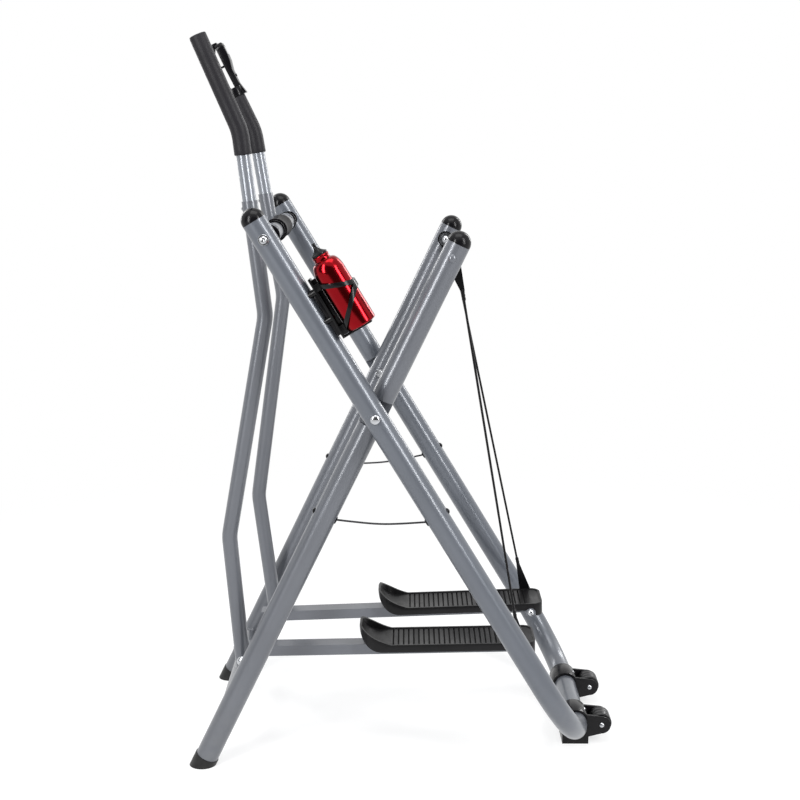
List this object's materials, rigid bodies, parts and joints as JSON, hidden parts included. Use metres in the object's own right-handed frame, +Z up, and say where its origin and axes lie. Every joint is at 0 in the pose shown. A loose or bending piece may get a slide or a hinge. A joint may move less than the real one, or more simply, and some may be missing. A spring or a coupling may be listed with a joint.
{
  "type": "folding air walker",
  "caption": "Folding air walker: two crossed tube frames, swinging arms with foam grips and foot plates hung on cables, a bottle in its cage and transport wheels.",
  "frame": {"origin": "on the floor, at the middle of the whole footprint", "axes": "the user stands facing -X, +Z is up, -Y is the user's left, where the bottle is"},
  "size_m": [0.9082, 0.6223, 1.5009],
  "materials": {
    "frame_paint": "satin",
    "bright_tube": "gloss",
    "chrome": "polished",
    "black_plastic": "satin",
    "foot_plate_plastic": "matte",
    "black_metal": "gloss",
    "grip_foam": "matte",
    "foot_rubber": "matte",
    "wheel_plastic": "satin",
    "cable_jacket": "gloss",
    "cord_weave": "matte",
    "red_anodised": "gloss"
  },
  "bodies": {
    "rear_frame": {"rear_leg_left": "frame_paint", "rear_leg_right": "frame_paint", "rear_cross_tube": "frame_paint", "rear_caps": "black_plastic", "hub_axle": "chrome", "axle_bolts": "chrome", "frame_washers": "black_plastic", "axle_spacers": "bright_tube", "hub_cover": "black_plastic", "cover_rings": "chrome", "cord_screws_rear": "black_plastic", "crossing_bolts": "chrome", "wheel_bracket_left": "black_plastic", "wheel_bracket_right": "black_plastic", "wheel_bolts": "chrome", "bottle_cage": "black_metal"},
    "front_frame": {"front_leg_left": "frame_paint", "front_leg_right": "frame_paint", "front_crossbar": "frame_paint", "front_caps": "black_plastic", "front_foot_left": "foot_rubber", "front_foot_right": "foot_rubber", "cord_screws_front": "black_plastic", "cable_boss_left": "black_plastic", "cable_boss_right": "black_plastic", "cable_bolts": "chrome", "spreader_cord_left": "cord_weave", "spreader_cord_right": "cord_weave"},
    "left_wheel": {"wheel_left": "wheel_plastic"},
    "right_wheel": {"wheel_right": "wheel_plastic"},
    "bottle": {"bottle": "red_anodised"},
    "stopper": {"bottle_stopper": "black_plastic"},
    "left_arm": {"arm_left": "frame_paint", "handle_left": "bright_tube", "grip_left": "grip_foam", "joint_screw_left": "chrome", "hub_bushings_left": "black_plastic", "arm_pin_left": "chrome"},
    "left_pedal": {"pedal_bar_left": "frame_paint", "foot_plate_left": "foot_plate_plastic", "heel_pin_left": "chrome"},
    "left_cable": {"heel_bracket_left": "black_metal", "cable_left": "cable_jacket", "cable_hanger_left": "black_metal", "hanger_pin_left": "chrome"},
    "right_arm": {"arm_right": "frame_paint", "handle_right": "bright_tube", "grip_right": "grip_foam", "joint_screw_right": "chrome", "hub_bushings_right": "black_plastic", "arm_pin_right": "chrome", "meter_clamp": "black_plastic", "meter_pod": "black_plastic"},
    "right_pedal": {"pedal_bar_right": "frame_paint", "foot_plate_right": "foot_plate_plastic", "heel_pin_right": "chrome"},
    "right_cable": {"heel_bracket_right": "black_metal", "cable_right": "cable_jacket", "cable_hanger_right": "black_metal", "hanger_pin_right": "chrome"}
  },
  "joints": [
    {"name": "frame_fold", "type": "hinge", "parent": "rear_frame", "child": "front_frame", "pos_m": [-0.0607, 0, 0.7636], "axis": [0, -1, 0], "range_deg": [0, 50], "deforming": ["spreader_cord_left", "spreader_cord_right"]},
    {"name": "left_swing", "type": "hinge", "parent": "rear_frame", "child": "left_arm", "pos_m": [-0.27011, 0, 1.11143], "axis": [0, -1, 0], "range_deg": [-22, 22]},
    {"name": "left_pedal_turn", "type": "hinge", "parent": "left_arm", "child": "left_pedal", "pos_m": [-0.34811, 0, 0.21143], "axis": [0, -1, 0], "range_deg": [-15, 15]},
    {"name": "left_cable_turn", "type": "hinge", "parent": "left_pedal", "child": "left_cable", "pos_m": [0.24875, 0, 0.2246], "axis": [0, -1, 0], "range_deg": [-17, 17]},
    {"name": "right_swing", "type": "hinge", "parent": "rear_frame", "child": "right_arm", "pos_m": [-0.27011, 0, 1.11143], "axis": [0, -1, 0], "range_deg": [-24, 20]},
    {"name": "right_pedal_turn", "type": "hinge", "parent": "right_arm", "child": "right_pedal", "pos_m": [-0.31145, 0, 0.209], "axis": [0, -1, 0], "range_deg": [-15, 15]},
    {"name": "right_cable_turn", "type": "hinge", "parent": "right_pedal", "child": "right_cable", "pos_m": [0.28509, 0, 0.23231], "axis": [0, -1, 0], "range_deg": [-17, 17]},
    {"name": "left_wheel_spin", "type": "hinge", "parent": "rear_frame", "child": "left_wheel", "pos_m": [0.42698, -0.098, 0.04284], "axis": [0, 1, 0], "continuous": true},
    {"name": "right_wheel_spin", "type": "hinge", "parent": "rear_frame", "child": "right_wheel", "pos_m": [0.42698, 0.098, 0.04284], "axis": [0, 1, 0], "continuous": true},
    {"name": "bottle_lift", "type": "slide", "parent": "rear_frame", "child": "bottle", "axis": [-0.5158, 0, 0.8567], "range_m": [0, 0.16]},
    {"name": "stopper_turn", "type": "hinge", "parent": "bottle", "child": "stopper", "pos_m": [-0.08516, -0.284, 0.94964], "axis": [-0.5158, 0, 0.8567], "continuous": true}
  ],
  "couplings": [
    {"joint": "left_pedal_turn", "follows": "left_swing", "ratio": -0.5775},
    {"joint": "left_cable_turn", "follows": "left_swing", "ratio": 0.6355},
    {"joint": "right_pedal_turn", "follows": "right_swing", "ratio": -0.5716},
    {"joint": "right_cable_turn", "follows": "right_swing", "ratio": 0.6373}
  ]
}
